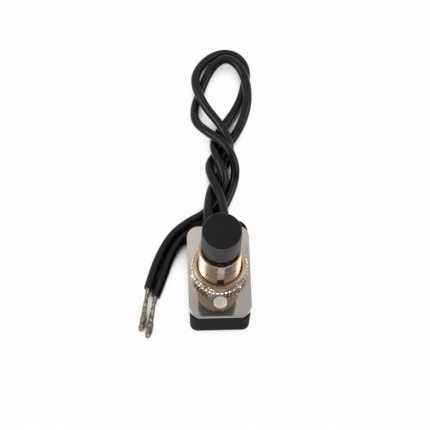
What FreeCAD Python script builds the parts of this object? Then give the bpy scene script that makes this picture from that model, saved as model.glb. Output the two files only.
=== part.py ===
import FreeCAD, Part
import math
import os

# Push on, push off lamp switch. Millimetres, +Z up.
# The origin is on the bushing's axis, at the underside of the housing. The slotted side faces -Y, the leads leave at +Y.

V = FreeCAD.Vector
UP = V(0, 0, 1)
ORIGIN = V(0, 0, 0)

# Cover plate and insulating card
plate_width = 17.5
plate_length = 27.3
plate_thickness = 1.0
plate_corner = 3.3
plate_edge_round = 0.25
card_thickness = 0.6
card_inset = 0.15

# Housing, a little narrower than the plate
housing_inset = 0.3
housing_front = 13.6
housing_back = 16.0
housing_height = 10.0
housing_front_corner = 2.1
housing_back_corner = 3.5
housing_draft = 0.1
housing_back_draft = 0.8
housing_bottom_round = 0.4
wall_side = 1.6
wall_end = 1.8
floor_thickness = 1.6
cavity_corner = 1.5

# Rivets
rivet_offset = 9.5
rivet_head_radius = 1.85
rivet_head_height = 0.8
rivet_head_round = 0.3
rivet_shank_radius = 1.1
rivet_clearance = 0.05
rivet_boss_radius = 1.65
rivet_tail_radius = 1.7
rivet_tail_height = 0.7
rivet_tail_recess = 1.0
rivet_tail_clearance = 0.15

# Bushing
bushing_radius = 5.95
bushing_wall = 0.82
bushing_length = 17.0
bushing_rim_chamfer = 0.4
bushing_tail_wall = 0.45
bushing_flange_radius = 6.3
bushing_flange_thickness = 0.5
bushing_hole_clearance = 0.05
keyway_width = 2.0
keyway_start = 1.8

# Guide sleeve
sleeve_clearance = 0.08
sleeve_wall = 0.7
sleeve_rim_drop = 0.4
sleeve_foot = 2.2
key_clearance = 0.05
key_length = 9.0
key_proud = 0.55

# Nuts and lock washer
hex_flats = 14.3
hex_thickness = 2.0
hex_turn = -106.5
hex_chamfer = 0.7
nut_clearance = 0.05
washer_inner_clearance = 0.2
washer_ring_width = 1.0
washer_radius = 8.0
washer_thickness = 0.45
washer_space = 1.0
washer_teeth = 14
washer_tooth_width = 1.15
washer_tooth_twist = 24.0
ring_radius = 7.6
ring_thickness = 2.3
ring_chamfer = 0.4
knurl_teeth = 60
knurl_depth = 0.16

# Button and plunger
button_radius = 5.45
button_height = 9.4
button_round = 0.35
button_gap = 2.7
button_travel = 2.6
button_socket_depth = 6.3
button_socket_clearance = 0.05
plunger_stem_radius = 3.0
plunger_stem_length = 6.0
plunger_clearance = 0.1
plunger_flange_thickness = 1.0
plunger_flange_clearance = 0.1
plunger_stop_gap = 0.3
plunger_bore_radius = 2.6
plunger_crown = 4.3
finger_inner_radius = 2.75
finger_gap = 0.4
finger_start = 58.0
finger_angle = 9.0

# Rotor, its axle and its spring
rotor_gap = 0.3
rotor_thickness = 3.6
rotor_lift = 0.1
hub_radius = 2.3
hub_gap = 0.3
ramp_inset = 0.9
ramp_count = 4
ramp_angle = 68.0
ramp_turn = 60.0
axle_radius = 1.0
axle_clearance = 0.05
axle_depth = 0.8
axle_top_gap = 5.0
collar_radius = 2.0
collar_thickness = 0.5
axle_boss_radius = 2.2
axle_boss_height = 0.8
thrust_thickness = 0.5
thrust_clearance = 0.1
spring_radius = 2.2
spring_wire = 0.25
spring_turns = 7

# Contacts
bridge_width = 3.0
bridge_thickness = 0.7
bridge_height = 1.6
bridge_clearance = 0.05
strip_thickness = 0.4
strip_wall_gap = 0.55
strip_height = 5.4
strip_front = 3.0
strip_bend = 5.6
point_radius = 1.1
point_thickness = 0.4
crimp_radius = 1.32
crimp_length = 2.2

# Leads
lead_radius = 1.3
lead_spacing = 3.1
lead_height = 5.6
lead_start = 10.2
lead_hole_clearance = 0.3
arc_share = 0.45
wire_end_left = (-22.35, -13.55, 1.0)
wire_end_right = (-20.45, -15.7, 1.0)
wire_offset = 0.15
wire_radii = ((0.0, 0.55), (0.25, 0.5), (0.5, 0.62), (0.68, 0.95), (0.9, 0.95), (1.0, 0.6))

# Widths and heights that follow from the sizes above
housing_half = plate_width / 2 - housing_inset
cavity_half = housing_half - wall_side
strip_inner = cavity_half - strip_wall_gap - strip_thickness
rotor_radius = strip_inner - point_thickness - rotor_gap
ramp_outer_radius = rotor_radius - ramp_inset
card_bottom = housing_height
plate_bottom = card_bottom + card_thickness
plate_top = plate_bottom + plate_thickness
rim_top = plate_top + bushing_length
bore_radius = bushing_radius - bushing_wall
tail_radius = bore_radius + bushing_tail_wall
hex_top = plate_top + hex_thickness
washer_top = hex_top + washer_space
ring_top = washer_top + ring_thickness
sleeve_top = rim_top - sleeve_rim_drop
sleeve_bottom = plate_top + sleeve_foot
sleeve_bore = bore_radius - sleeve_clearance - sleeve_wall
shaft_radius = sleeve_bore - plunger_clearance
button_bottom = rim_top + button_gap
button_top = button_bottom + button_height
flange_top = sleeve_bottom - plunger_stop_gap
flange_bottom = flange_top - plunger_flange_thickness
crown_z = button_bottom - plunger_crown
axle_boss_top = floor_thickness + axle_boss_height
rotor_bottom = axle_boss_top + thrust_thickness + rotor_lift
rotor_top = rotor_bottom + rotor_thickness
rise_per_degree = button_travel / ramp_turn
ramp_height = ramp_angle * rise_per_degree
hub_top = flange_bottom - button_travel - hub_gap
collar_bottom = hub_top + hub_gap
collar_top = collar_bottom + collar_thickness
point_z = rotor_bottom + bridge_height


def rounded_face(half_width, y_low, y_high, corner, z, far_corner=None):
    """A flat rectangle with rounded corners at height z. Its corners at y_high may have their own radius."""
    x_low, x_high = -half_width, half_width
    far = corner if far_corner is None else far_corner
    diag = corner * (1 - math.sqrt(0.5))
    far_diag = far * (1 - math.sqrt(0.5))
    corners = [
        ((x_high, y_low + corner), (x_high - diag, y_low + diag), (x_high - corner, y_low)),
        ((x_low + corner, y_low), (x_low + diag, y_low + diag), (x_low, y_low + corner)),
        ((x_low, y_high - far), (x_low + far_diag, y_high - far_diag), (x_low + far, y_high)),
        ((x_high - far, y_high), (x_high - far_diag, y_high - far_diag), (x_high, y_high - far)),
    ]
    edges = []
    for index, (start, middle, end) in enumerate(corners):
        points = [V(x, y, z) for x, y in (start, middle, end)]
        edges.append(Part.Arc(*points).toShape())
        following = corners[(index + 1) % len(corners)][0]
        edges.append(Part.LineSegment(points[2], V(following[0], following[1], z)).toShape())
    return Part.Face(Part.Wire(edges))


def rounded_prism(half_width, y_low, y_high, corner, z_low, z_high):
    return rounded_face(half_width, y_low, y_high, corner, z_low).extrude(V(0, 0, z_high - z_low))


def cylinder(radius, z_low, z_high, x=0.0, y=0.0):
    return Part.makeCylinder(radius, z_high - z_low, V(x, y, z_low), UP)


def tube(outer, inner, z_low, z_high):
    return cylinder(outer, z_low, z_high).cut(cylinder(inner, z_low - 1, z_high + 1))


def turned(profile):
    """A solid turned about Z from (radius, height) corners."""
    points = [V(radius, 0, z) for radius, z in profile]
    wire = Part.makePolygon(points + [points[0]])
    return Part.Face(wire).revolve(ORIGIN, UP, 360)


def box(x_low, x_high, y_low, y_high, z_low, z_high):
    return Part.makeBox(x_high - x_low, y_high - y_low, z_high - z_low, V(x_low, y_low, z_low))


def edges_at(shape, z, least_radius=0.0):
    """The edges of a shape that lie flat at height z, apart from small holes."""
    found = []
    for edge in shape.Edges:
        bounds = edge.BoundBox
        if abs(bounds.ZMin - z) > 1e-4 or abs(bounds.ZMax - z) > 1e-4:
            continue
        if edge.Curve.TypeId == "Part::GeomCircle" and edge.Curve.Radius < least_radius:
            continue
        found.append(edge)
    return found


def around(shape, count, step=None):
    """Copies of a shape turned about Z."""
    step = 360.0 / count if step is None else step
    copies = []
    for index in range(count):
        copy = shape.copy()
        copy.rotate(ORIGIN, UP, index * step)
        copies.append(copy)
    return copies


def helical_block(inner, outer, angle, z_start, depth):
    """A block whose underside or top climbs at the ramp's slope. It starts at angle 0 and depth is signed."""
    middle = (inner + outer) / 2
    helix = Part.makeHelix(rise_per_degree * 360, rise_per_degree * angle, middle)
    profile = Part.makePolygon(
        [V(inner, 0, 0), V(outer, 0, 0), V(outer, 0, depth), V(inner, 0, depth), V(inner, 0, 0)]
    )
    sweep = Part.BRepOffsetAPI.MakePipeShell(Part.Wire(helix.Edges))
    sweep.setFrenetMode(True)
    sweep.add(profile)
    sweep.build()
    sweep.makeSolid()
    block = sweep.shape()
    block.translate(V(0, 0, z_start))
    return block


def make_housing():
    half = housing_half
    far_wall = housing_back - housing_back_draft
    top = rounded_face(
        half, -housing_front, housing_back, housing_front_corner, housing_height, housing_back_corner
    )
    bottom = rounded_face(
        half - housing_draft,
        -housing_front + housing_draft,
        far_wall,
        housing_front_corner,
        0,
        housing_back_corner,
    )
    body = Part.makeLoft([bottom.OuterWire, top.OuterWire], True, True)
    body = body.makeFillet(housing_bottom_round, edges_at(body, 0))
    cavity = rounded_prism(
        cavity_half,
        -housing_front + wall_end,
        far_wall - wall_end,
        cavity_corner,
        floor_thickness,
        housing_height + 1,
    )
    body = body.cut(cavity)
    bosses = [cylinder(rivet_boss_radius, floor_thickness / 2, housing_height, 0, y) for y in rivet_places()]
    bosses.append(cylinder(axle_boss_radius, floor_thickness / 2, axle_boss_top))
    body = body.fuse(bosses)
    cuts = [cylinder(rivet_shank_radius + rivet_clearance, -1, housing_height + 1, 0, y) for y in rivet_places()]
    recess = rivet_tail_radius + rivet_tail_clearance
    cuts += [cylinder(recess, -1, rivet_tail_recess, 0, y) for y in rivet_places()]
    cuts.append(cylinder(axle_radius, axle_depth, housing_height))
    for side in (-1, 1):
        place = V(side * lead_spacing, far_wall - wall_end - 1, lead_height)
        length = housing_back + 1 - place.y
        cuts.append(Part.makeCylinder(lead_radius + lead_hole_clearance, length, place, V(0, 1, 0)))
    return body.cut(cuts).removeSplitter()


def rivet_places():
    return (-rivet_offset, rivet_offset)


def make_card():
    half_length = plate_length / 2 - card_inset
    card = rounded_prism(
        plate_width / 2 - card_inset,
        -half_length,
        half_length,
        plate_corner - card_inset,
        card_bottom,
        plate_bottom,
    )
    holes = [cylinder(bushing_flange_radius + 0.3, 0, rim_top)]
    holes += [cylinder(rivet_shank_radius + rivet_clearance, 0, rim_top, 0, y) for y in rivet_places()]
    return card.cut(holes)


def make_plate():
    half_length = plate_length / 2
    plate = rounded_prism(plate_width / 2, -half_length, half_length, plate_corner, plate_bottom, plate_top)
    plate = plate.makeFillet(plate_edge_round, edges_at(plate, plate_top))
    holes = [cylinder(tail_radius + bushing_hole_clearance, 0, rim_top)]
    holes += [cylinder(rivet_shank_radius + rivet_clearance, 0, rim_top, 0, y) for y in rivet_places()]
    return plate.cut(holes)


def make_rivets():
    head_top = plate_top + rivet_head_height
    tail_top = rivet_tail_recess
    tail_bottom = rivet_tail_recess - rivet_tail_height
    rivet = turned(
        [
            (0, tail_bottom),
            (rivet_tail_radius, tail_bottom),
            (rivet_tail_radius, tail_top),
            (rivet_shank_radius, tail_top),
            (rivet_shank_radius, plate_top),
            (rivet_head_radius, plate_top),
            (rivet_head_radius, head_top - rivet_head_round),
            (rivet_head_radius - rivet_head_round, head_top),
            (0, head_top),
        ]
    )
    rivets = []
    for y in rivet_places():
        copy = rivet.copy()
        copy.translate(V(0, y, 0))
        rivets.append(copy)
    return Part.makeCompound(rivets)


def make_bushing():
    tail_bottom = plate_bottom - bushing_flange_thickness
    chamfer = bushing_rim_chamfer
    body = turned(
        [
            (bore_radius, tail_bottom),
            (bushing_flange_radius, tail_bottom),
            (bushing_flange_radius, plate_bottom),
            (tail_radius, plate_bottom),
            (tail_radius, plate_top),
            (bushing_radius, plate_top),
            (bushing_radius, rim_top - chamfer),
            (bushing_radius - chamfer / 2, rim_top),
            (bore_radius + chamfer / 2, rim_top),
            (bore_radius, rim_top - chamfer / 2),
        ]
    )
    half = keyway_width / 2
    keyway = box(-half, half, -bushing_radius - 1, -bore_radius / 2, plate_top + keyway_start, rim_top + 1)
    return body.cut(keyway)


def make_sleeve():
    outer = bore_radius - sleeve_clearance
    ring = tube(outer, sleeve_bore, sleeve_bottom, sleeve_top)
    half = keyway_width / 2 - key_clearance
    key = box(-half, half, -outer - key_proud, -outer + sleeve_wall / 2, sleeve_top - key_length, sleeve_top)
    return ring.fuse(key)


def make_hex_nut():
    corner_radius = hex_flats / 2 / math.cos(math.pi / 6)
    corners = []
    for index in range(6):
        angle = math.radians(hex_turn + 60 * index)
        corners.append(V(corner_radius * math.cos(angle), corner_radius * math.sin(angle), plate_top))
    nut = Part.Face(Part.makePolygon(corners + [corners[0]])).extrude(V(0, 0, hex_thickness))
    crown = turned(
        [
            (0, plate_top),
            (corner_radius, plate_top),
            (corner_radius, hex_top - hex_chamfer / 2),
            (hex_flats / 2 - hex_chamfer / 2, hex_top),
            (0, hex_top),
        ]
    )
    return nut.common(crown).cut(cylinder(bushing_radius + nut_clearance, 0, rim_top))


def make_lock_washer():
    inner = bushing_radius + washer_inner_clearance
    ring_outer = inner + washer_ring_width
    middle = (hex_top + washer_top) / 2
    half = washer_thickness / 2
    ring = tube(ring_outer, inner, middle - half, middle + half)
    width = washer_tooth_width / 2
    tooth = box(ring_outer - 0.4, washer_radius, -width, width, middle - half, middle + half)
    tooth.rotate(V(0, 0, middle), V(1, 0, 0), washer_tooth_twist)
    return ring.fuse(around(tooth, washer_teeth))


def make_ring_nut():
    points = []
    for index in range(2 * knurl_teeth):
        radius = ring_radius - (knurl_depth if index % 2 else 0)
        angle = math.pi * index / knurl_teeth
        points.append(V(radius * math.cos(angle), radius * math.sin(angle), washer_top))
    nut = Part.Face(Part.makePolygon(points + [points[0]])).extrude(V(0, 0, ring_thickness))
    crown = turned(
        [
            (bushing_radius + nut_clearance, washer_top),
            (ring_radius - ring_chamfer, washer_top),
            (ring_radius, washer_top + ring_chamfer),
            (ring_radius, ring_top - ring_chamfer),
            (ring_radius - ring_chamfer, ring_top),
            (bushing_radius + nut_clearance, ring_top),
        ]
    )
    return nut.common(crown)


def make_button():
    body = cylinder(button_radius, button_bottom, button_top)
    body = body.makeFillet(button_round, edges_at(body, button_top) + edges_at(body, button_bottom))
    socket = plunger_stem_radius + button_socket_clearance
    return body.cut(cylinder(socket, button_bottom - 1, button_bottom + button_socket_depth))


def make_plunger():
    stem_top = button_bottom + plunger_stem_length
    flange_radius = bore_radius - plunger_flange_clearance
    body = turned(
        [
            (plunger_bore_radius, flange_bottom),
            (flange_radius, flange_bottom),
            (flange_radius, flange_top),
            (shaft_radius, flange_top),
            (shaft_radius, button_bottom),
            (plunger_stem_radius, button_bottom),
            (plunger_stem_radius, stem_top),
            (0, stem_top),
            (0, crown_z),
            (plunger_bore_radius, crown_z),
        ]
    )
    underside = rotor_top + finger_start * rise_per_degree + finger_gap
    finger = helical_block(finger_inner_radius, shaft_radius, finger_angle, underside, flange_top - underside)
    finger = finger.common(cylinder(rotor_radius, rotor_top, (flange_bottom + flange_top) / 2))
    finger.rotate(ORIGIN, UP, finger_start)
    return body.fuse(around(finger, ramp_count))


def make_rotor():
    body = cylinder(rotor_radius, rotor_bottom, rotor_top).fuse(cylinder(hub_radius, rotor_bottom, hub_top))
    depth = ramp_height + rotor_thickness / 2
    ramp = helical_block(hub_radius - 0.2, ramp_outer_radius, ramp_angle, rotor_top, -depth)
    ramp = ramp.common(cylinder(rotor_radius, rotor_top - rotor_thickness / 4, rotor_top + 2 * ramp_height))
    body = body.fuse(around(ramp, ramp_count))
    half = bridge_width / 2 + bridge_clearance
    low = point_z - bridge_thickness / 2 - bridge_clearance
    high = point_z + bridge_thickness / 2 + bridge_clearance
    slot = box(-half, half, -rotor_radius - 1, rotor_radius + 1, low, high)
    return body.cut([slot, cylinder(axle_radius + axle_clearance, 0, rim_top)])


def make_bridge():
    half = bridge_width / 2
    low = point_z - bridge_thickness / 2
    strip = box(-half, half, -rotor_radius - 1, rotor_radius + 1, low, low + bridge_thickness)
    strip = strip.common(cylinder(rotor_radius - bridge_clearance, low, low + bridge_thickness))
    return strip.cut(cylinder(axle_radius + axle_clearance, 0, rim_top))


def make_axle():
    top = crown_z - axle_top_gap
    pin = cylinder(axle_radius, axle_depth, top)
    pin = pin.makeChamfer(axle_radius / 4, edges_at(pin, top))
    return pin.fuse(cylinder(collar_radius, collar_bottom, collar_top))


def make_thrust_washer():
    inner = axle_radius + thrust_clearance
    return tube(axle_boss_radius, inner, axle_boss_top, axle_boss_top + thrust_thickness)


def make_spring():
    low = collar_top + spring_wire
    height = crown_z - spring_wire - low
    helix = Part.makeHelix(height / spring_turns, height, spring_radius)
    section = Part.Wire(Part.makeCircle(spring_wire, V(spring_radius, 0, 0), V(0, 1, 0)))
    spring = Part.Wire(helix.Edges).makePipeShell([section], True, True)
    spring.translate(V(0, 0, low))
    return spring


def bent_strip(points, thickness, z_low, height):
    """A strip that stands on edge along a line of points in plan."""
    flat = [V(x, y, z_low) for x, y in points]
    sides = ([], [])
    for index, point in enumerate(flat):
        before = flat[max(index - 1, 0)]
        after = flat[min(index + 1, len(flat) - 1)]
        first = (point - before) if index else (after - point)
        second = (after - point) if index < len(flat) - 1 else (point - before)
        normals = [V(-d.y, d.x, 0).normalize() for d in (first, second)]
        mitre = (normals[0] + normals[1]).normalize()
        reach = thickness / 2 / mitre.dot(normals[0])
        sides[0].append(point + mitre * reach)
        sides[1].append(point - mitre * reach)
    outline = sides[0] + sides[1][::-1]
    return Part.Face(Part.makePolygon(outline + [outline[0]])).extrude(V(0, 0, height))


def make_contact(side):
    middle = strip_inner + strip_thickness / 2
    crimp_front = lead_start - crimp_length
    points = [
        (side * middle, -strip_front),
        (side * middle, strip_bend),
        (side * lead_spacing, crimp_front),
        (side * lead_spacing, crimp_front + crimp_length / 2),
    ]
    strip = bent_strip(points, strip_thickness, floor_thickness, strip_height)
    place = V(side * lead_spacing, crimp_front, lead_height)
    return strip.fuse(Part.makeCylinder(crimp_radius, crimp_length, place, V(0, 1, 0)))


def make_points():
    discs = []
    for side in (-1, 1):
        start = V(side * strip_inner, 0, point_z)
        discs.append(Part.makeCylinder(point_radius, point_thickness, start, V(-side, 0, 0)))
    return Part.makeCompound(discs)


# Routes of the two leads, chosen by hand from the crimp to the bare end
left_route = [
    (-lead_spacing, lead_start, lead_height), (-lead_spacing, 13.9, lead_height), (-2.5, 18.3, 5.6),
    (-2.2, 22.8, 5.0), (-1.4, 27.6, 3.4), (0.1, 31.7, 1.3), (2.3, 34.9, 1.3), (4.3, 38.1, 1.8),
    (4.7, 41.2, 3.7), (4.1, 44.6, 4.4), (1.9, 49.0, 4.4), (-1.4, 53.5, 4.3), (-3.6, 58.0, 4.3),
    (-5.0, 62.8, 4.2), (-3.7, 67.6, 2.9), (0.0, 72.0, 1.6), (4.5, 73.6, 1.3), (8.6, 72.0, 1.3),
    (10.7, 67.8, 1.3), (10.0, 62.8, 1.3), (8.5, 57.6, 1.3), (5.9, 52.9, 1.3), (2.1, 48.1, 1.3),
    (-0.1, 43.1, 3.4), (0.8, 38.0, 4.8), (2.5, 33.9, 4.5), (2.8, 30.2, 3.0), (0.6, 26.5, 1.3),
    (-2.6, 22.0, 1.3), (-8.1, 19.2, 1.3), (-12.9, 15.3, 1.3), (-16.5, 9.0, 1.3), (-18.7, 3.1, 1.3),
    (-19.9, -1.0, 1.3),
]
right_route = [
    (lead_spacing, lead_start, lead_height), (lead_spacing, 13.9, lead_height), (2.5, 18.2, 5.6),
    (1.9, 22.4, 5.7), (1.0, 26.7, 5.8), (-0.8, 31.4, 4.9), (-1.6, 35.8, 3.0), (-0.2, 39.5, 1.3),
    (2.9, 42.0, 1.3), (6.2, 45.8, 1.4), (9.0, 50.5, 3.0), (10.6, 56.2, 4.2), (10.3, 62.8, 4.2),
    (8.3, 67.9, 4.2), (4.7, 70.6, 4.2), (1.0, 68.6, 3.5), (-1.7, 64.6, 2.0), (-3.5, 59.9, 1.3),
    (-5.1, 55.6, 1.7), (-5.2, 50.0, 3.4), (-1.5, 45.6, 5.6), (2.4, 42.4, 6.2), (5.0, 38.5, 6.0),
    (6.2, 34.7, 3.9), (5.6, 31.0, 1.6), (3.6, 26.0, 1.3), (0.4, 20.1, 1.3), (-5.4, 17.6, 1.3),
    (-10.6, 13.8, 1.3), (-13.6, 8.2, 1.3), (-15.8, 1.7, 1.3), (-17.9, -3.4, 1.3),
]


def make_lead(name, route):
    """A tube along straight runs joined by tangent arcs."""
    points = [V(*place) for place in route]
    edges = []
    radii = []
    at = points[0]
    for before, corner, after in zip(points, points[1:], points[2:]):
        arriving = corner - before
        leaving = after - corner
        back = arc_share * min(arriving.Length, leaving.Length)
        arriving.normalize()
        leaving.normalize()
        turn = arriving.getAngle(leaving)
        radius = back / math.tan(turn / 2)
        radii.append(round(radius, 1))
        start = corner - arriving * back
        end = corner + leaving * back
        inward = (leaving - arriving).normalize()
        middle = corner + inward * (math.hypot(radius, back) - radius)
        edges.append(Part.LineSegment(at, start).toShape())
        edges.append(Part.Arc(start, middle, end).toShape())
        at = end
    edges.append(Part.LineSegment(at, points[-1]).toShape())
    path = Part.Wire(edges)
    section = Part.Wire(Part.makeCircle(lead_radius, points[0], points[1] - points[0]))
    lead = path.makePipeShell([section], True, False)
    expected = math.pi * lead_radius**2 * path.Length
    print(name, "length", round(path.Length, 1), "volume share", round(lead.Volume / expected, 4), "radii", radii)
    return lead


def make_bare_end(route, end):
    """The bare strands past the end of a lead's insulation, thicker where they are frayed."""
    last = V(*route[-1])
    along = V(*end) - last
    length = along.Length - wire_offset
    along.normalize()
    profile = [(0, 0)] + [(radius, share * length) for share, radius in wire_radii] + [(0, length)]
    strands = turned(profile)
    strands.Placement = FreeCAD.Placement(last + along * wire_offset, FreeCAD.Rotation(UP, along))
    return strands


def main():
    nodes = {
        "housing": make_housing(),
        "insulator_card": make_card(),
        "cover_plate": make_plate(),
        "plate_rivets": make_rivets(),
        "bushing": make_bushing(),
        "guide_sleeve": make_sleeve(),
        "hex_nut": make_hex_nut(),
        "lock_washer": make_lock_washer(),
        "ring_nut": make_ring_nut(),
        "button": make_button(),
        "plunger": make_plunger(),
        "return_spring": make_spring(),
        "axle_pin": make_axle(),
        "thrust_washer": make_thrust_washer(),
        "rotor": make_rotor(),
        "bridge_contact": make_bridge(),
        "contact_left": make_contact(-1),
        "contact_right": make_contact(1),
        "contact_points": make_points(),
        "lead_left": make_lead("lead_left", left_route),
        "lead_right": make_lead("lead_right", right_route),
        "lead_left_wire": make_bare_end(left_route, wire_end_left),
        "lead_right_wire": make_bare_end(right_route, wire_end_right),
    }
    os.makedirs("parts", exist_ok=True)
    for name, shape in nodes.items():
        print(name, "solids", len(shape.Solids), "volume", round(shape.Volume, 2), "valid", shape.isValid())
        shape.exportStep("parts/" + name + ".step")


main()
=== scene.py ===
import math

import bmesh
import bpy
from mathutils import Matrix, Vector


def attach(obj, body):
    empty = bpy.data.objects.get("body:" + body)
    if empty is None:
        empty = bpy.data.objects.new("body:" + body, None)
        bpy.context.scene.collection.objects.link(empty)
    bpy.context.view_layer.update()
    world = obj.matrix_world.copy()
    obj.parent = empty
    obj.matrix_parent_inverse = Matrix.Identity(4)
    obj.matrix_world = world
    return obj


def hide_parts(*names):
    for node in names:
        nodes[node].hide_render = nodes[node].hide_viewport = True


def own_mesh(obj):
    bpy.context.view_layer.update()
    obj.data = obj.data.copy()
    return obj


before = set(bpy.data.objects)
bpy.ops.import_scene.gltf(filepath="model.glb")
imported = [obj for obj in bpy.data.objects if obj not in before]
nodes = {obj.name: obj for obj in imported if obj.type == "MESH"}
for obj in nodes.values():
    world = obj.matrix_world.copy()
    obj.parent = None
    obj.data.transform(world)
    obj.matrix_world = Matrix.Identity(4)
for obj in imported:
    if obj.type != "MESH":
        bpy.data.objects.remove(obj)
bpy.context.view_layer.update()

mm = 0.001
axisZ = Vector((0, 0, 1))
print("frame loaded:", len(nodes), "nodes")


# Camera, fitted to the photo

cameraSetup = {
    "azimuth": -5.22,       # degrees from -Y, the slotted side
    "elevation": 67.04,
    "roll": 3.59,
    "distance": 622.14,     # millimetres
    "aim": (-0.155, 21.894, 0.0),
    "lens": 180.5,
    "sensor": 36,
    "clip": (0.01, 10),     # metres
}


def placeCamera(setup):
    azimuth, elevation, roll = (math.radians(setup[key]) for key in ("azimuth", "elevation", "roll"))
    back = Vector((
        math.sin(azimuth) * math.cos(elevation),
        -math.cos(azimuth) * math.cos(elevation),
        math.sin(elevation),
    ))
    level = Vector((math.cos(azimuth), math.sin(azimuth), 0))
    right = Matrix.Rotation(roll, 3, back) @ level
    up = back.cross(right)
    data = bpy.data.cameras.new("camera")
    data.sensor_width = setup["sensor"]
    data.lens = setup["lens"]
    data.clip_start, data.clip_end = setup["clip"]
    camera = bpy.data.objects.new("camera", data)
    bpy.context.scene.collection.objects.link(camera)
    turn = Matrix((right, up, back)).transposed().to_4x4()
    place = Vector(setup["aim"]) * mm + back * setup["distance"] * mm
    camera.matrix_world = Matrix.Translation(place) @ turn
    bpy.context.scene.camera = camera


placeCamera(cameraSetup)
print("camera placed")


# Helpers for materials

def newMaterial(name):
    material = bpy.data.materials.new(name)
    material.use_nodes = True
    tree = material.node_tree
    shader = next(node for node in tree.nodes if node.type == "BSDF_PRINCIPLED")
    return material, tree, shader


def objectPoints(tree, scale=(1, 1, 1)):
    coords = tree.nodes.new("ShaderNodeTexCoord")
    mapping = tree.nodes.new("ShaderNodeMapping")
    mapping.inputs["Scale"].default_value = scale
    tree.links.new(coords.outputs["Object"], mapping.inputs["Vector"])
    return mapping.outputs["Vector"]


def noise(tree, points, scale, detail=3.0, rough=0.5):
    texture = tree.nodes.new("ShaderNodeTexNoise")
    texture.inputs["Scale"].default_value = scale
    texture.inputs["Detail"].default_value = detail
    texture.inputs["Roughness"].default_value = rough
    tree.links.new(points, texture.inputs["Vector"])
    return texture.outputs["Fac"]


def ramp(tree, fac, stops):
    node = tree.nodes.new("ShaderNodeValToRGB")
    elements = node.color_ramp.elements
    while len(elements) < len(stops):
        elements.new(0.5)
    for element, (place, colour) in zip(elements, stops):
        element.position = place
        element.color = (*colour, 1)
    tree.links.new(fac, node.inputs["Fac"])
    return node.outputs["Color"]


def spread(tree, fac, low, high, fromLow=0.3, fromHigh=0.7):
    node = tree.nodes.new("ShaderNodeMapRange")
    node.inputs["From Min"].default_value = fromLow
    node.inputs["From Max"].default_value = fromHigh
    node.inputs["To Min"].default_value = low
    node.inputs["To Max"].default_value = high
    tree.links.new(fac, node.inputs["Value"])
    return node.outputs["Result"]


def mixed(tree, fac, low, high, kind="FLOAT"):
    # low where fac is 0, high where it is 1, each a value or a socket
    node = tree.nodes.new("ShaderNodeMix")
    node.data_type = kind
    first, out = (2, 0) if kind == "FLOAT" else (6, 2)   # where the node keeps that kind's sockets
    tree.links.new(fac, node.inputs[0])
    for socket, value in ((node.inputs[first], low), (node.inputs[first + 1], high)):
        if isinstance(value, bpy.types.NodeSocket):
            tree.links.new(value, socket)
        else:
            socket.default_value = value if kind == "FLOAT" else (*value, 1)
    return node.outputs[out]


def bump(tree, shader, height, strength, distance):
    node = tree.nodes.new("ShaderNodeBump")
    node.inputs["Strength"].default_value = strength
    node.inputs["Distance"].default_value = distance
    tree.links.new(height, node.inputs["Height"])
    tree.links.new(node.outputs["Normal"], shader.inputs["Normal"])


def normalHeight(tree):
    # how far the surface faces up, from the piece's own normal
    coords = tree.nodes.new("ShaderNodeTexCoord")
    split = tree.nodes.new("ShaderNodeSeparateXYZ")
    tree.links.new(coords.outputs["Normal"], split.inputs["Vector"])
    return split.outputs["Z"]


topBand = (0.3, 0.8)    # a face's painted side colour goes over to the top's between these heights of its normal
mouldedLook = {
    "cloudScale": 180,
    "cloudStops": (0.35, 0.7),
    "glossier": 0.04,       # how far the roughness strays, down and up
    "duller": 0.06,
    "grainStrength": 0.25,
    "paintedEdgeHighlight": [(0.2, 0), (0.5, 1), (0.8, 1), (0.97, 0)],    # normal's height, share of painted highlight on the edge
    "paintedEdgeHighlightGain": 2.2,
}
metalLook = {
    "tintStops": (0.3, 0.65),
    "glossier": 0.7,        # the roughness strays between these shares of its own value
    "duller": 1.4,
    "markRough": 0.6,
}


def moulded(name, dark, light, roughness, gloss, grain=2200, grainDepth=0.00002, side=None):
    look = mouldedLook
    material, tree, shader = newMaterial(name)
    points = objectPoints(tree)
    clouds = noise(tree, points, look["cloudScale"], detail=4)
    colour = ramp(tree, clouds, list(zip(look["cloudStops"], (dark, light))))
    if side:   # the upright faces get their own colour, a painted reflection, and the edge over them a painted highlight
        height = normalHeight(tree)
        colour = mixed(tree, spread(tree, height, 0, 1, *topBand), side, colour, "RGBA")
        paintedEdgeHighlight = ramp(tree, height, [(place, (share, share, share)) for place, share in look["paintedEdgeHighlight"]])
        colour = mixed(tree, paintedEdgeHighlight, colour, [look["paintedEdgeHighlightGain"] * value for value in side], "RGBA")
    tree.links.new(colour, shader.inputs["Base Color"])
    strayed = spread(tree, clouds, roughness - look["glossier"], roughness + look["duller"])
    tree.links.new(strayed, shader.inputs["Roughness"])
    bump(tree, shader, noise(tree, points, grain, detail=2), look["grainStrength"], grainDepth)
    shader.inputs["Specular IOR Level"].default_value = gloss
    return material


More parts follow.
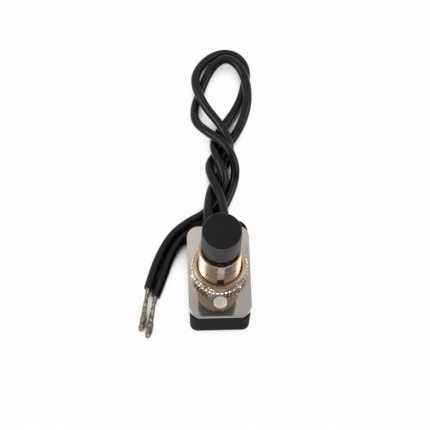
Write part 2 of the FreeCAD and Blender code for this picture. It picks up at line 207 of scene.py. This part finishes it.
def metal(
    name, colour, shade, roughness, brush=(1, 1, 1), brushScale=900, depth=0.000006, strength=0.3,
    blotch=260, streak=(1, 1, 1), top=None, paintedFade=None, haze=0.0,
):
    # brush and streak stretch the marks and the blotches, haze is the share that isn't metallic
    look = metalLook
    material, tree, shader = newMaterial(name)
    shader.inputs["Metallic"].default_value = 1 - haze
    blotches = noise(tree, objectPoints(tree, streak), blotch, detail=4)
    tint = ramp(tree, blotches, list(zip(look["tintStops"], (shade, colour))))
    if top:    # faces that look up get their own colour, a painted shade
        tint = mixed(tree, spread(tree, normalHeight(tree), 0, 1, *topBand), tint, top, "RGBA")
    if paintedFade:   # painted shade: darker along a direction, from one distance to the other, for the dimmer reflection there
        direction, start, end, paintedFadeShade = paintedFade
        along = tree.nodes.new("ShaderNodeVectorMath")
        along.operation = "DOT_PRODUCT"
        along.inputs[1].default_value = direction
        tree.links.new(objectPoints(tree), along.inputs[0])
        tint = mixed(tree, spread(tree, along.outputs["Value"], 0, 1, start, end), tint, paintedFadeShade, "RGBA")
    tree.links.new(tint, shader.inputs["Base Color"])
    marks = noise(tree, objectPoints(tree, brush), brushScale, rough=look["markRough"])
    strayed = spread(tree, marks, roughness * look["glossier"], roughness * look["duller"])
    tree.links.new(strayed, shader.inputs["Roughness"])
    bump(tree, shader, marks, strength, depth)
    return material


# Finishes

finish = {
    "housing": moulded("blackPhenolic", (0.0085, 0.0068, 0.0065), (0.013, 0.0108, 0.0104), 0.48, 0.018),
    "card": moulded(
        "blackFibre", (0.005, 0.005, 0.005), (0.01, 0.009, 0.009), 0.75, 0.08, grain=1500, grainDepth=0.00004
    ),
    # the plate darkens towards the right and the front, a painted shade
    "plate": metal(
        "polishedSteel", (0.57, 0.51, 0.46), (0.5, 0.45, 0.41), 0.055, haze=0.09, brush=(1, 0.06, 1),
        brushScale=2600, depth=0.000003, strength=0.16,
        paintedFade=((0.6, -0.8, 0), -0.009, 0.003, (0.36, 0.325, 0.3)),
    ),
    "rivet": metal(
        "rivetSteel", (0.74, 0.7, 0.64), (0.62, 0.58, 0.52), 0.3, haze=0.5, brushScale=1500, depth=0.00001
    ),
    "bushing": metal(
        "paleBrass", (0.67, 0.52, 0.38), (0.24, 0.17, 0.11), 0.22, brush=(1, 1, 6), brushScale=700,
        depth=0.000008, blotch=420, streak=(0.3, 0.3, 2),
    ),
    # the sleeve's upward faces are darkened, a painted shade for the button's shadow and its dark reflection
    # there
    "sleeve": metal("greyedMetal", (0.8, 0.69, 0.6), (0.66, 0.56, 0.49), 0.4, top=(0.1, 0.09, 0.085)),
    "hex": metal("brightNickel", (0.8, 0.76, 0.7), (0.7, 0.66, 0.6), 0.08, brush=(1, 1, 4)),
    "washer": metal("washerSteel", (0.9, 0.87, 0.82), (0.75, 0.71, 0.66), 0.1),
    "ring": metal(
        "champagneBrass", (0.5, 0.375, 0.25), (0.4, 0.3, 0.2), 0.12, brush=(1, 1, 5), brushScale=800
    ),
    # the button's side colour is a painted reflection, and its top edge gets a painted highlight
    "button": moulded(
        "buttonPlastic", (0.005, 0.0045, 0.0055), (0.008, 0.0075, 0.009), 0.5, 0.15, grain=1800,
        side=(0.045, 0.038, 0.038),
    ),
    "stem": moulded("stemPlastic", (0.008, 0.008, 0.008), (0.014, 0.014, 0.014), 0.5, 0.2),
    "rotor": moulded("naturalPlastic", (0.6, 0.57, 0.48), (0.68, 0.65, 0.56), 0.45, 0.5),
    "spring": metal("springWire", (0.5, 0.5, 0.5), (0.42, 0.42, 0.42), 0.25),
    "pin": metal("turnedSteel", (0.6, 0.6, 0.6), (0.5, 0.5, 0.5), 0.25, brush=(1, 1, 8)),
    "contact": metal("contactBrass", (0.7, 0.52, 0.26), (0.6, 0.42, 0.2), 0.3),
    "silver": metal("contactSilver", (0.85, 0.84, 0.8), (0.7, 0.69, 0.66), 0.25),
    "lead": moulded(
        "leadInsulation", (0.006, 0.0042, 0.0052), (0.011, 0.008, 0.0095), 0.2, 0.2, grain=1400
    ),
    # its dark blotches are partly random tone and partly painted shade for the gaps between the wires
    "strand": metal(
        "tinnedCopper", (0.52, 0.45, 0.34), (0.1, 0.08, 0.055), 0.35, brushScale=1800, depth=0.00001,
        strength=0.4, blotch=1100,
    ),
}
nodeFinish = {   # nodes that are shown as they are
    "housing": "housing",
    "insulator_card": "card",
    "cover_plate": "plate",
    "guide_sleeve": "sleeve",
    "plunger": "stem",
    "axle_pin": "pin",
    "thrust_washer": "pin",
    "rotor": "rotor",
    "bridge_contact": "contact",
    "contact_left": "contact",
    "contact_right": "contact",
    "contact_points": "silver",
}
for nodeName, finishName in nodeFinish.items():
    nodes[nodeName].data.materials.clear()
    nodes[nodeName].data.materials.append(finish[finishName])
print("finishes made:", len(finish))


def addPiece(name, data, finishName, body, node):
    # a piece that rides its body and takes the place of a node, which is hidden
    data.materials.clear()
    data.materials.append(finish[finishName])
    piece = bpy.data.objects.new(name, data)
    bpy.context.scene.collection.objects.link(piece)
    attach(piece, body)
    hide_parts(node)
    return piece


# Helpers for pieces, modelled in millimetres

mergeDistance = 0.001
cutDistance = 0.0005


def newLoop(segments, radius, z):
    bm = bmesh.new()
    bmesh.ops.create_circle(bm, segments=segments, radius=radius, cap_ends=False)
    bmesh.ops.translate(bm, vec=(0, 0, z), verts=bm.verts)
    return bm, bm.edges[:]


def pushLoop(bm, edges, place):
    # the loop is extruded, and place moves each new vertex
    grown = bmesh.ops.extrude_edge_only(bm, edges=edges)["geom"]
    for item in grown:
        if isinstance(item, bmesh.types.BMVert):
            item.co = place(item.co)
    return [item for item in grown if isinstance(item, bmesh.types.BMEdge) and item.is_boundary]


def atRadius(radius, z):
    # a place function: the same bearing, a new radius and height
    def place(co):
        flat = Vector((co.x, co.y, 0)).normalized() * radius
        return Vector((flat.x, flat.y, z))
    return place


def spinProfile(profile, steps):
    # a turned piece from (radius, height) points, closed where the profile ends on the axis
    bm = bmesh.new()
    verts = [bm.verts.new((radius, 0, z)) for radius, z in profile]
    edges = [bm.edges.new(pair) for pair in zip(verts, verts[1:])]
    bmesh.ops.spin(
        bm, geom=verts + edges, cent=(0, 0, 0), axis=axisZ, angle=2 * math.pi, steps=steps, use_merge=True
    )
    return bm


def roundEdges(bm, width, angle):
    limit = math.radians(angle)
    sharp = [edge for edge in bm.edges if len(edge.link_faces) == 2 and edge.calc_face_angle() > limit]
    bmesh.ops.bevel(
        bm, geom=sharp, offset=width, segments=2, profile=0.5, affect="EDGES", material=-1,
        clamp_overlap=True,
    )


def finishMesh(bm, name, smoothAngle):
    bmesh.ops.remove_doubles(bm, verts=bm.verts, dist=mergeDistance)
    bmesh.ops.recalc_face_normals(bm, faces=bm.faces)
    for face in bm.faces:
        face.smooth = True
    for edge in bm.edges:
        edge.smooth = len(edge.link_faces) == 2 and edge.calc_face_angle() < math.radians(smoothAngle)
    bmesh.ops.scale(bm, vec=(mm, mm, mm), verts=bm.verts)
    mesh = bpy.data.meshes.new(name)
    bm.to_mesh(mesh)
    bm.free()
    return mesh


# Bushing: a real helical thread with a chamfered rim, a bore and the slot in its front
bushing = {
    "radius": 5.95,
    "threadDepth": 0.34,
    "pitch": 0.794,      # 32 threads to the inch
    "threadShares": (0.12, 0.45, 0.67),    # of the pitch: the root's end, the crest's start and end
    "weld": 0.004,
    "bore": 5.13,
    "bottom": 11.6,      # on the plate
    "rim": 28.6,
    "chamfer": 0.45,
    "chamferSlope": 0.6,
    "boreChamfer": 0.15,
    "slotWidth": 2.0,
    "slotFloor": 13.4,
    "tail": 5.58,
    "flange": 6.3,
    "flangeTop": 10.6,
    "flangeBottom": 10.1,
    "steps": 120,
    "smooth": 30,
    "near": 0.002,       # how far from a cut a corner still belongs to it
}


def makeBushing(spec):
    pitch, outer, root = spec["pitch"], spec["radius"], spec["radius"] - spec["threadDepth"]
    bm = bmesh.new()
    count = math.ceil((spec["rim"] - spec["bottom"]) / pitch) + 3
    rootEnd, crestStart, crestEnd = spec["threadShares"]
    profile = []
    for turn in range(count):   # two turns more below, so that both ends can be cut flat
        z = spec["bottom"] + (turn - 2) * pitch
        profile += [(root, z), (root, z + rootEnd * pitch)]
        profile += [(outer, z + crestStart * pitch), (outer, z + crestEnd * pitch)]
    verts = [bm.verts.new((0, radius, z)) for radius, z in profile]
    edges = [bm.edges.new(pair) for pair in zip(verts, verts[1:])]
    bmesh.ops.spin(
        bm, geom=verts + edges, cent=(0, 0, 0), axis=axisZ, dvec=(0, 0, pitch / spec["steps"]),
        angle=2 * math.pi, steps=spec["steps"],
    )
    bmesh.ops.remove_doubles(bm, verts=bm.verts, dist=spec["weld"])
    for height, sign in ((spec["rim"], 1), (spec["bottom"], -1)):
        bmesh.ops.bisect_plane(
            bm, geom=bm.verts[:] + bm.edges[:] + bm.faces[:], dist=cutDistance, plane_co=(0, 0, height),
            plane_no=(0, 0, sign), clear_outer=True,
        )
    for vert in bm.verts:   # the chamfer takes the thread off the rim
        limit = outer - spec["chamferSlope"] * (vert.co.z - spec["rim"] + spec["chamfer"])
        reach = Vector((vert.co.x, vert.co.y)).length
        if vert.co.z > spec["rim"] - spec["chamfer"] and reach > limit:
            vert.co.x *= limit / reach
            vert.co.y *= limit / reach
    middle = (spec["rim"] + spec["bottom"]) / 2
    rim = [edge for edge in bm.edges if edge.is_boundary and edge.verts[0].co.z > middle]
    foot = [edge for edge in bm.edges if edge.is_boundary and edge.verts[0].co.z < middle]
    bore, chamfer = spec["bore"], spec["boreChamfer"]
    steps = [
        (bore + chamfer, spec["rim"]), (bore, spec["rim"] - chamfer), (bore, spec["flangeBottom"]),
        (spec["flange"], spec["flangeBottom"]), (spec["flange"], spec["flangeTop"]),
        (spec["tail"], spec["flangeTop"]), (spec["tail"], spec["bottom"]),
    ]
    for radius, z in steps:
        rim = pushLoop(bm, rim, atRadius(radius, z))
    bmesh.ops.bridge_loops(bm, edges=rim + foot)
    cutSlot(bm, spec)
    return finishMesh(bm, "bushing", spec["smooth"])


def cutSlot(bm, spec):
    half, floor, near = spec["slotWidth"] / 2, spec["slotFloor"], spec["near"]
    for point, normal in (((half, 0, 0), (1, 0, 0)), ((-half, 0, 0), (1, 0, 0)), ((0, 0, floor), (0, 0, 1))):
        bmesh.ops.bisect_plane(
            bm, geom=bm.verts[:] + bm.edges[:] + bm.faces[:], dist=cutDistance, plane_co=point,
            plane_no=normal,
        )
    inside = []
    for face in bm.faces:
        centre = face.calc_center_median()
        if abs(centre.x) < half and centre.y < 0 and centre.z > floor:
            inside.append(face)
    bmesh.ops.delete(bm, geom=inside, context="FACES")

    def onSide(vert, side):
        return abs(vert.co.x - side) < near

    def onFloor(vert):
        return abs(vert.co.z - floor) < near

    edges = [edge for edge in bm.edges if edge.is_boundary]
    for side in (-half, half):   # the wall's corners at the slot's floor are joined, then each side is filled
        corners = {vert for edge in edges for vert in edge.verts if onSide(vert, side) and onFloor(vert)}
        edges += bmesh.ops.contextual_create(bm, geom=list(corners))["edges"]
    for side in (-half, half):
        wall = [edge for edge in edges if all(onSide(vert, side) for vert in edge.verts)]
        bmesh.ops.contextual_create(bm, geom=wall)
    ledge = [edge for edge in edges if all(onFloor(vert) for vert in edge.verts)]
    bmesh.ops.contextual_create(bm, geom=ledge)
    bmesh.ops.triangulate(bm, faces=[face for face in bm.faces if len(face.verts) > 4])


# Hexagon nut: the cone of its crown leaves the curved line on each flat
hexNut = {
    "flats": 14.3,
    "turn": 13.5,        # degrees from +X to a corner
    "bottom": 11.6,
    "top": 13.6,
    "crown": 7.05,
    "slope": 0.14,
    "bore": 6.0,
    "boreChamfer": 0.3,
    "cuts": 15,
    "round": 0.09,
    "roundAngle": 32,
    "smooth": 25,
}


def makeHexNut(spec):
    bm, loop = newLoop(6, spec["flats"] / 2 / math.cos(math.pi / 6), spec["bottom"])
    start = bm.verts[:][0].co
    bearing = math.degrees(math.atan2(start.y, start.x))
    turn = Matrix.Rotation(math.radians(spec["turn"] - bearing), 3, "Z")
    bmesh.ops.rotate(bm, cent=(0, 0, 0), matrix=turn, verts=bm.verts)
    bmesh.ops.subdivide_edges(bm, edges=loop, cuts=spec["cuts"])
    loop = bm.edges[:]

    def crown(co):
        drop = max(0, Vector((co.x, co.y)).length - spec["crown"]) * spec["slope"]
        return Vector((co.x, co.y, spec["top"] - drop))

    loop = pushLoop(bm, loop, crown)
    bore, chamfer = spec["bore"], spec["boreChamfer"]
    for radius, z in (
        (spec["crown"], spec["top"]), (bore + chamfer, spec["top"]), (bore, spec["top"] - chamfer),
        (bore, spec["bottom"]),
    ):
        loop = pushLoop(bm, loop, atRadius(radius, z))
    bmesh.ops.bridge_loops(bm, edges=[edge for edge in bm.edges if edge.is_boundary])
    bmesh.ops.recalc_face_normals(bm, faces=bm.faces)
    roundEdges(bm, spec["round"], spec["roundAngle"])
    return finishMesh(bm, "hexNut", spec["smooth"])


# Lock washer: a ring of small teeth, each twisted out of its plane
washer = {
    "inner": 6.15,
    "ring": 7.15,
    "outer": 8.0,
    "middle": 14.1,
    "thickness": 0.45,
    "teeth": 42,
    "toothWidth": 0.78,
    "toothRoot": 0.4,    # how deep a tooth reaches into the ring
    "twist": 20.0,
    "steps": 126,
    "round": 0.07,
    "roundAngle": 45,
    "smooth": 30,
}


def makeWasher(spec):
    middle, half = spec["middle"], spec["thickness"] / 2
    bm, loop = newLoop(spec["steps"], spec["inner"], middle - half)
    for radius, z in (
        (spec["ring"], middle - half), (spec["ring"], middle + half), (spec["inner"], middle + half),
        (spec["inner"], middle - half),
    ):
        loop = pushLoop(bm, loop, atRadius(radius, z))
    bmesh.ops.remove_doubles(bm, verts=bm.verts, dist=mergeDistance)
    start, end = spec["ring"] - spec["toothRoot"], spec["outer"]
    twist = Matrix.Rotation(math.radians(spec["twist"]), 3, "X")
    for index in range(spec["teeth"]):
        tooth = bmesh.ops.create_cube(bm, size=1)["verts"]
        bmesh.ops.scale(bm, vec=(end - start, spec["toothWidth"], spec["thickness"]), verts=tooth)
        bmesh.ops.rotate(bm, cent=(0, 0, 0), matrix=twist, verts=tooth)
        bmesh.ops.translate(bm, vec=((start + end) / 2, 0, middle), verts=tooth)
        turn = Matrix.Rotation(2 * math.pi * index / spec["teeth"], 3, "Z")
        bmesh.ops.rotate(bm, cent=(0, 0, 0), matrix=turn, verts=tooth)
    bmesh.ops.recalc_face_normals(bm, faces=bm.faces)
    roundEdges(bm, spec["round"], spec["roundAngle"])
    return finishMesh(bm, "lockWasher", spec["smooth"])


# Ring nut, knurled round its edge
ringNut = {
    "radius": 7.6,
    "teeth": 60,
    "knurlDepth": 0.16,
    "bottom": 14.6,
    "top": 16.9,
    "chamfer": 0.4,
    "bore": 6.0,
    "boreChamfer": 0.3,
    "toothSteps": 4,
    "round": 0.08,
    "roundAngle": 38,
    "smooth": 30,
}


def makeRingNut(spec):
    inset = spec["radius"] - spec["chamfer"]
    bm, loop = newLoop(spec["teeth"] * spec["toothSteps"], inset, spec["bottom"])

    def knurled(z):
        def place(co):
            wave = 0.5 - 0.5 * math.cos(math.atan2(co.y, co.x) * spec["teeth"])
            return atRadius(spec["radius"] - spec["knurlDepth"] * wave, z)(co)
        return place

    bore, chamfer = spec["bore"], spec["boreChamfer"]
    steps = [
        knurled(spec["bottom"] + spec["chamfer"]), knurled(spec["top"] - spec["chamfer"]),
        atRadius(inset, spec["top"]), atRadius(bore + chamfer, spec["top"]),
        atRadius(bore, spec["top"] - chamfer), atRadius(bore, spec["bottom"]),
        atRadius(inset, spec["bottom"]),
    ]
    for step in steps:
        loop = pushLoop(bm, loop, step)
    bmesh.ops.remove_doubles(bm, verts=bm.verts, dist=mergeDistance)
    roundEdges(bm, spec["round"], spec["roundAngle"])
    return finishMesh(bm, "ringNut", spec["smooth"])


# Rivets: a flat head with a shallow ring turned into it, the shank and the tail
rivet = {
    "places": (-9.5, 9.5),
    "profile": [
        (0, 12.32), (1.2, 12.32), (1.25, 12.26), (1.31, 12.26), (1.36, 12.32), (1.7, 12.32), (1.8, 12.28),
        (1.85, 12.12), (1.85, 11.6), (1.1, 11.6), (1.1, 1.0), (1.7, 1.0), (1.7, 0.4), (1.6, 0.3), (0, 0.3),
    ],
    "steps": 48,
    "smooth": 25,
}


def makeRivets(spec):
    whole = bmesh.new()
    for place in spec["places"]:
        bm = spinProfile(spec["profile"], spec["steps"])
        bmesh.ops.translate(bm, vec=(0, place, 0), verts=bm.verts)
        part = bpy.data.meshes.new("rivet")
        bm.to_mesh(part)
        bm.free()
        whole.from_mesh(part)
        bpy.data.meshes.remove(part)
    return finishMesh(whole, "rivets", spec["smooth"])


# Button: rounded edges, a faintly dished top, and the socket its stem sits in
button = {
    "radius": 5.45,
    "bottom": 31.3,
    "top": 40.7,
    "round": 0.32,
    "roundSteps": 5,
    "dish": [(0, 0.05), (0.6, 0.03)],    # share of the radius, depth
    "socket": 3.05,
    "socketTop": 37.6,
    "steps": 128,
    "smooth": 40,
}


def makeButton(spec):
    radius, edge, steps = spec["radius"], spec["round"], spec["roundSteps"]
    top, bottom = spec["top"], spec["bottom"]
    corner = [math.pi / 2 * step / steps for step in range(steps + 1)]
    profile = [(radius * share, top - depth) for share, depth in spec["dish"]]
    profile += [(radius - edge + edge * math.sin(a), top - edge + edge * math.cos(a)) for a in corner]
    profile += [(radius - edge + edge * math.cos(a), bottom + edge - edge * math.sin(a)) for a in corner]
    profile += [(spec["socket"], bottom), (spec["socket"], spec["socketTop"]), (0, spec["socketTop"])]
    return finishMesh(spinProfile(profile, spec["steps"]), "button", spec["smooth"])


# Return spring: inside the bushing, between the pin's collar and the stem's crown
spring = {
    "radius": 2.2,
    "wire": 0.25,
    "turns": 7,
    "bottom": 10.4,
    "top": 27.0,
    "travel": 2.6,    # what the pressed button takes off its length
    "steps": 28,      # around one turn
    "sides": 10,
    "smooth": 60,
}


def makeSpring(spec):
    bm = bmesh.new()
    bmesh.ops.create_circle(bm, segments=spec["sides"], radius=spec["wire"], cap_ends=True)
    bmesh.ops.rotate(bm, cent=(0, 0, 0), matrix=Matrix.Rotation(math.pi / 2, 3, "X"), verts=bm.verts)
    bmesh.ops.translate(bm, vec=(spec["radius"], 0, spec["bottom"] + spec["wire"]), verts=bm.verts)
    steps = spec["steps"] * spec["turns"]
    rise = spec["top"] - spec["bottom"] - 2 * spec["wire"]
    bmesh.ops.spin(
        bm, geom=bm.verts[:] + bm.edges[:] + bm.faces[:], cent=(0, 0, 0), axis=axisZ,
        dvec=(0, 0, rise / steps), angle=2 * math.pi * spec["turns"], steps=steps,
    )
    return finishMesh(bm, "returnSpring", spec["smooth"])


addPiece("bushingThread", makeBushing(bushing), "bushing", "base", "bushing")
addPiece("hexNut", makeHexNut(hexNut), "hex", "base", "hex_nut")
addPiece("lockWasher", makeWasher(washer), "washer", "base", "lock_washer")
addPiece("ringNut", makeRingNut(ringNut), "ring", "base", "ring_nut")
addPiece("rivets", makeRivets(rivet), "rivet", "base", "plate_rivets")
addPiece("buttonCap", makeButton(button), "button", "push", "button")
returnSpring = addPiece("returnSpring", makeSpring(spring), "spring", "base", "return_spring")
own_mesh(returnSpring)
print("switch pieces made")


# Leads, along the same points as the source

lead = {
    "radius": 1.3,
    "spacing": 3.1,
    "start": 10.2,
    "height": 5.6,
    "order": 3,
    "resolution": 8,
    "bevelResolution": 8,
}
leftRoute = [
    (-lead["spacing"], lead["start"], lead["height"]), (-lead["spacing"], 13.9, lead["height"]),
    (-2.5, 18.3, 5.6), (-2.2, 22.8, 5.0), (-1.4, 27.6, 3.4), (0.1, 31.7, 1.3), (2.3, 34.9, 1.3),
    (4.3, 38.1, 1.8), (4.7, 41.2, 3.7), (4.1, 44.6, 4.4), (1.9, 49.0, 4.4), (-1.4, 53.5, 4.3),
    (-3.6, 58.0, 4.3), (-5.0, 62.8, 4.2), (-3.7, 67.6, 2.9), (0.0, 72.0, 1.6), (4.5, 73.6, 1.3),
    (8.6, 72.0, 1.3), (10.7, 67.8, 1.3), (10.0, 62.8, 1.3), (8.5, 57.6, 1.3), (5.9, 52.9, 1.3),
    (2.1, 48.1, 1.3), (-0.1, 43.1, 3.4), (0.8, 38.0, 4.8), (2.5, 33.9, 4.5), (2.8, 30.2, 3.0),
    (0.6, 26.5, 1.3), (-2.6, 22.0, 1.3), (-8.1, 19.2, 1.3), (-12.9, 15.3, 1.3), (-16.5, 9.0, 1.3),
    (-18.7, 3.1, 1.3), (-19.9, -1.0, 1.3),
]
rightRoute = [
    (lead["spacing"], lead["start"], lead["height"]), (lead["spacing"], 13.9, lead["height"]),
    (2.5, 18.2, 5.6), (1.9, 22.4, 5.7), (1.0, 26.7, 5.8), (-0.8, 31.4, 4.9), (-1.6, 35.8, 3.0),
    (-0.2, 39.5, 1.3), (2.9, 42.0, 1.3), (6.2, 45.8, 1.4), (9.0, 50.5, 3.0), (10.6, 56.2, 4.2),
    (10.3, 62.8, 4.2), (8.3, 67.9, 4.2), (4.7, 70.6, 4.2), (1.0, 68.6, 3.5), (-1.7, 64.6, 2.0),
    (-3.5, 59.9, 1.3), (-5.1, 55.6, 1.7), (-5.2, 50.0, 3.4), (-1.5, 45.6, 5.6), (2.4, 42.4, 6.2),
    (5.0, 38.5, 6.0), (6.2, 34.7, 3.9), (5.6, 31.0, 1.6), (3.6, 26.0, 1.3), (0.4, 20.1, 1.3),
    (-5.4, 17.6, 1.3), (-10.6, 13.8, 1.3), (-13.6, 8.2, 1.3), (-15.8, 1.7, 1.3), (-17.9, -3.4, 1.3),
]


def makeLead(spec, name, route, node):
    data = bpy.data.curves.new(name, "CURVE")
    data.dimensions = "3D"
    spline = data.splines.new("NURBS")
    spline.points.add(len(route) - 1)
    for point, (x, y, z) in zip(spline.points, route):
        point.co = (x * mm, y * mm, z * mm, 1)
    spline.order_u = spec["order"]
    spline.use_endpoint_u = True
    spline.resolution_u = spec["resolution"]
    data.bevel_depth = spec["radius"] * mm
    data.bevel_resolution = spec["bevelResolution"]
    data.use_fill_caps = True
    return addPiece(name, data, "lead", "base", node)


leadLeft = makeLead(lead, "leadLeft", leftRoute, "lead_left")
leadRight = makeLead(lead, "leadRight", rightRoute, "lead_right")


# Bare strands

strands = {
    "count": 16,
    "thickness": 0.3,
    "turns": 2.4,
    "endLeft": (-22.35, -13.55, 1.05),
    "endRight": (-20.45, -15.7, 1.05),
    "wave": 0.16,
    "steps": 26,
    "bevelResolution": 2,
    "reach": 0.965,             # mean share of the full length
    "uneven": (0.035, 2.4),     # how much that share varies, and its phase from strand to strand
    "inner": 0.45,              # every third strand runs at this share of the bundle's radius
    "loose": (0.16, 2.9, 11),   # how far the others leave it, phase from strand to strand, phase along
    "wander": (0.3, 1.7, 9),    # the same for their bearing, in radians
    # share of the length, the bundle's radius there
    "profile": [(0.0, 0.4), (0.25, 0.42), (0.5, 0.5), (0.72, 0.7), (0.9, 0.76), (1.0, 0.62)],
}


def profileAt(profile, share):
    for (lowPlace, lowValue), (highPlace, highValue) in zip(profile, profile[1:]):
        if share <= highPlace:
            return lowValue + (highValue - lowValue) * (share - lowPlace) / (highPlace - lowPlace)
    return profile[-1][1]


def makeStrands(spec, name, route, end, node):
    start, end = Vector(route[-1]), Vector(end)
    along = (end - start).normalized()
    side = along.cross(axisZ).normalized()
    top = side.cross(along)
    data = bpy.data.curves.new(name, "CURVE")
    data.dimensions = "3D"
    data.bevel_depth = spec["thickness"] / 2 * mm
    data.bevel_resolution = spec["bevelResolution"]
    data.use_fill_caps = True
    uneven, unevenStep = spec["uneven"]
    loose, looseStep, looseAlong = spec["loose"]
    wander, wanderStep, wanderAlong = spec["wander"]
    for index in range(spec["count"]):
        phase = 2 * math.pi * index / spec["count"]
        reach = (end - start).length * (spec["reach"] + uneven * math.sin(index * unevenStep))
        spline = data.splines.new("POLY")
        spline.points.add(spec["steps"])
        for step, point in enumerate(spline.points):
            share = step / spec["steps"]
            outer = 1 + loose * math.sin(index * looseStep + looseAlong * share)
            radius = profileAt(spec["profile"], share) * (spec["inner"] if index % 3 == 0 else outer)
            drift = wander * share * math.sin(wanderAlong * share + index * wanderStep)
            angle = phase + 2 * math.pi * spec["turns"] * share + drift
            offset = side * math.cos(angle) * radius + top * math.sin(angle) * radius
            wave = side * spec["wave"] * math.sin(2 * math.pi * share) * share
            place = start + along * reach * share + offset + wave
            point.co = (*(place * mm), 1)
    holder = bpy.data.objects.new(name + "Curve", data)
    bpy.context.scene.collection.objects.link(holder)
    mesh = bpy.data.meshes.new_from_object(holder.evaluated_get(bpy.context.evaluated_depsgraph_get()))
    bpy.data.objects.remove(holder)
    return addPiece(name, mesh, "strand", "base", node)


strandsLeft = makeStrands(strands, "strandsLeft", leftRoute, strands["endLeft"], "lead_left_wire")
strandsRight = makeStrands(strands, "strandsRight", rightRoute, strands["endRight"], "lead_right_wire")
print("leads and strands made")


# Floor, light and background

studio = {
    "floorSize": 4.0,
    "floorGlow": 0.95,     # share of pure white that camera and glossy rays see
    "floorRoughness": 0.9,
    "paper": 0.85,
    "gapShade": 0.01,
    "gapReach": 0.006,     # narrow gaps under and between the leads lose that glow, a painted shade
    "gapGlow": (0.25, 0.6),      # openness at which the glow starts and is full
    "gapStops": (0.2, 0.55),     # the same for the paper's colour, darkened there as painted shade
    "lamps": {   # place, power
        "keyLamp": ((-0.75, -0.05, 0.6), 4.0),
        "fillLamp": ((0.75, -0.1, 0.6), 3.0),
    },
    "lampSize": 0.6,
    "lampAim": (0, 0.02, 0.01),
    "worldStrength": 0.6,
    "darkSide": (0.06, -1, 0),   # the dim front of the room, seen in reflections only
    "darkBand": (0.06, 0.32),    # from its edge to where it is dimmest
    "darkLevel": 0.36,
}


def makeFloor(setup):
    grid = bmesh.new()
    bmesh.ops.create_grid(grid, x_segments=2, y_segments=2, size=setup["floorSize"] / 2)
    mesh = bpy.data.meshes.new("floor")
    grid.to_mesh(mesh)
    grid.free()
    material, tree, shader = newMaterial("floorPaper")
    shader.inputs["Roughness"].default_value = setup["floorRoughness"]
    rays = tree.nodes.new("ShaderNodeLightPath")
    # painted shade: in narrow gaps, found by ambient occlusion, the paper darkens and loses its glow
    openness = tree.nodes.new("ShaderNodeAmbientOcclusion")
    openness.inputs["Distance"].default_value = setup["gapReach"]
    glowing = spread(tree, openness.outputs["AO"], 0, setup["floorGlow"], *setup["gapGlow"])
    shades = [(level, level, level) for level in (setup["gapShade"], setup["paper"])]
    shade = ramp(tree, openness.outputs["AO"], list(zip(setup["gapStops"], shades)))
    tree.links.new(shade, shader.inputs["Base Color"])
    share = mixed(tree, rays.outputs["Is Camera Ray"], 0, glowing)
    share = mixed(tree, rays.outputs["Is Glossy Ray"], share, glowing)
    glow = tree.nodes.new("ShaderNodeEmission")
    glow.inputs["Color"].default_value = (1, 1, 1, 1)
    mix = tree.nodes.new("ShaderNodeMixShader")
    output = next(node for node in tree.nodes if node.type == "OUTPUT_MATERIAL")
    tree.links.new(share, mix.inputs["Fac"])
    tree.links.new(shader.outputs["BSDF"], mix.inputs[1])
    tree.links.new(glow.outputs["Emission"], mix.inputs[2])
    tree.links.new(mix.outputs["Shader"], output.inputs["Surface"])
    mesh.materials.append(material)
    floor = bpy.data.objects.new("floor", mesh)
    bpy.context.scene.collection.objects.link(floor)


def makeWorld(setup):
    world = bpy.data.worlds.new("studio")
    world.use_nodes = True
    tree = world.node_tree
    background = next(node for node in tree.nodes if node.type == "BACKGROUND")
    background.inputs["Color"].default_value = (1, 1, 1, 1)
    rays = tree.nodes.new("ShaderNodeLightPath")
    coords = tree.nodes.new("ShaderNodeTexCoord")
    towards = tree.nodes.new("ShaderNodeVectorMath")
    towards.operation = "DOT_PRODUCT"
    towards.inputs[1].default_value = setup["darkSide"]
    tree.links.new(coords.outputs["Generated"], towards.inputs[0])
    mirrored = spread(tree, towards.outputs["Value"], 1, setup["darkLevel"], *setup["darkBand"])
    level = mixed(tree, rays.outputs["Is Glossy Ray"], setup["worldStrength"], mirrored)
    level = mixed(tree, rays.outputs["Is Transmission Ray"], level, 1)
    level = mixed(tree, rays.outputs["Is Camera Ray"], level, 1)
    tree.links.new(level, background.inputs["Strength"])
    bpy.context.scene.world = world


def makeLamps(setup):
    for name, (place, power) in setup["lamps"].items():
        data = bpy.data.lights.new(name, "AREA")
        data.shape = "DISK"
        data.size = setup["lampSize"]
        data.energy = power
        lamp = bpy.data.objects.new(name, data)
        bpy.context.scene.collection.objects.link(lamp)
        lamp.location = place
        lamp.rotation_euler = (Vector(place) - Vector(setup["lampAim"])).to_track_quat("Z", "Y").to_euler()


makeFloor(studio)
makeWorld(studio)
makeLamps(studio)
bpy.context.scene.view_settings.view_transform = "Standard"
print("studio made")
